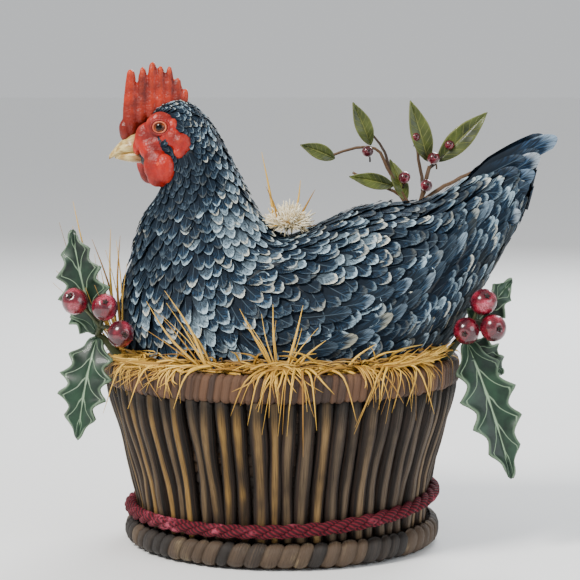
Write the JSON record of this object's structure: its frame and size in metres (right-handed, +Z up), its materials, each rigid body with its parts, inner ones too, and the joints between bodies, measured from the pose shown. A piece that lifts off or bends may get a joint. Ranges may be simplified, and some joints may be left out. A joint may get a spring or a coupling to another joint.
{
  "type": "wind-up hopping hen toy",
  "caption": "Clockwork hen with feathered tin shells and hopping feet, sitting in a flared round wicker nest basket with straw, twisted rope, holly sprigs and a side winding key.",
  "frame": {"origin": "centre of the basket's underside, where its floor disc rests on the surface", "axes": "+Z up, the hen faces -X, her left side is -Y and the winding key is on +Y"},
  "size_m": [0.1355, 0.1046, 0.1377],
  "materials": {
    "wicker": "dark stained willow, matte",
    "rope": "twisted crimson cord",
    "straw": "dry straw",
    "holly_leaf": "satin green",
    "berry": "glossy crimson",
    "feathers": "pressed tin dressed with barred slate-blue feathers",
    "comb_red": "soft red, satin",
    "beak_ivory": "ivory horn",
    "eye": "polished dark bead",
    "tin": "bright tinned steel",
    "brass": "stamped brass",
    "spring_steel": "blued spring steel",
    "foot_yellow": "ochre enamel"
  },
  "bodies": {
    "basket": {"basket_floor": "wicker", "basket_foot": "wicker", "basket_wall": "wicker", "basket_rim": "wicker", "rope_band": "rope", "straw_nest": "straw", "holly_leaves_left": "holly_leaf", "holly_leaves_right": "holly_leaf", "holly_berries_left": "berry", "holly_berries_right": "berry", "berry_twig": "holly_leaf"},
    "hen": {"body_shell_left": "feathers", "body_shell_right": "feathers", "tail": "feathers", "wing_left": "feathers", "wing_right": "feathers", "comb": "comb_red", "wattle_left": "comb_red", "wattle_right": "comb_red", "face_patch_left": "comb_red", "face_patch_right": "comb_red", "beak_upper": "beak_ivory", "beak_lower": "beak_ivory", "eye_left": "eye", "eye_right": "eye", "belly_plate": "tin", "frame_plate_left": "tin", "frame_plate_right": "tin", "frame_pillar_1": "tin", "frame_pillar_2": "tin", "frame_pillar_3": "tin", "frame_pillar_4": "tin", "mainspring": "spring_steel", "key_escutcheon": "brass"},
    "great_wheel": {"great_wheel": "brass", "click_pin": "tin", "click_spring": "spring_steel"},
    "click": {"click": "tin"},
    "winding_arbor": {"winding_arbor": "tin", "ratchet_wheel": "tin", "winding_key": "brass"},
    "second_axle": {"second_arbor": "tin", "second_wheel": "brass"},
    "third_axle": {"third_arbor": "tin", "drive_gear": "brass"},
    "front_crank": {"front_crank_axle": "tin", "front_crank_gear": "brass", "front_crank_disc_left": "tin", "front_crank_disc_right": "tin"},
    "rear_crank": {"rear_crank_axle": "tin", "rear_crank_gear": "brass", "rear_crank_disc_left": "tin", "rear_crank_disc_right": "tin"},
    "left_leg": {"leg_left": "tin", "foot_left": "foot_yellow"},
    "right_leg": {"leg_right": "tin", "foot_right": "foot_yellow"}
  },
  "joints": [
    {"name": "hen_lift", "type": "slide", "parent": "basket", "child": "hen", "axis": [0, 0, 1], "range_m": [0, 0.09]},
    {"name": "great_wheel_turn", "type": "hinge", "parent": "hen", "child": "great_wheel", "pos_m": [-0.0082, 0, 0.06711], "axis": [0, 1, 0], "continuous": true},
    {"name": "winding", "type": "hinge", "parent": "great_wheel", "child": "winding_arbor", "pos_m": [-0.0082, 0, 0.06711], "axis": [0, 1, 0], "continuous": true},
    {"name": "click_lift", "type": "hinge", "parent": "great_wheel", "child": "click", "pos_m": [-0.0022, 0, 0.0775], "axis": [0, 1, 0], "range_deg": [0, 10], "stiffness_Nm_per_rad": 0.001, "springref_deg": -17.19},
    {"name": "second_axle_turn", "type": "hinge", "parent": "hen", "child": "second_axle", "pos_m": [0.013, 0, 0.05819], "axis": [0, 1, 0], "continuous": true},
    {"name": "third_axle_turn", "type": "hinge", "parent": "hen", "child": "third_axle", "pos_m": [0, 0, 0.04755], "axis": [0, 1, 0], "continuous": true},
    {"name": "front_crank_turn", "type": "hinge", "parent": "hen", "child": "front_crank", "pos_m": [-0.011, 0, 0.041], "axis": [0, 1, 0], "continuous": true},
    {"name": "rear_crank_turn", "type": "hinge", "parent": "hen", "child": "rear_crank", "pos_m": [0.011, 0, 0.041], "axis": [0, 1, 0], "continuous": true},
    {"name": "left_leg_pivot", "type": "hinge", "parent": "front_crank", "child": "left_leg", "pos_m": [-0.011, 0, 0.038], "axis": [0, 1, 0], "continuous": true},
    {"name": "right_leg_pivot", "type": "hinge", "parent": "front_crank", "child": "right_leg", "pos_m": [-0.011, 0, 0.038], "axis": [0, 1, 0], "continuous": true}
  ],
  "couplings": [
    {"joint": "second_axle_turn", "follows": "great_wheel_turn", "ratio": -3.6},
    {"joint": "third_axle_turn", "follows": "great_wheel_turn", "ratio": 11.52},
    {"joint": "front_crank_turn", "follows": "great_wheel_turn", "ratio": -11.52},
    {"joint": "rear_crank_turn", "follows": "great_wheel_turn", "ratio": -11.52},
    {"joint": "left_leg_pivot", "follows": "great_wheel_turn", "ratio": 11.52},
    {"joint": "right_leg_pivot", "follows": "great_wheel_turn", "ratio": 11.52}
  ]
}
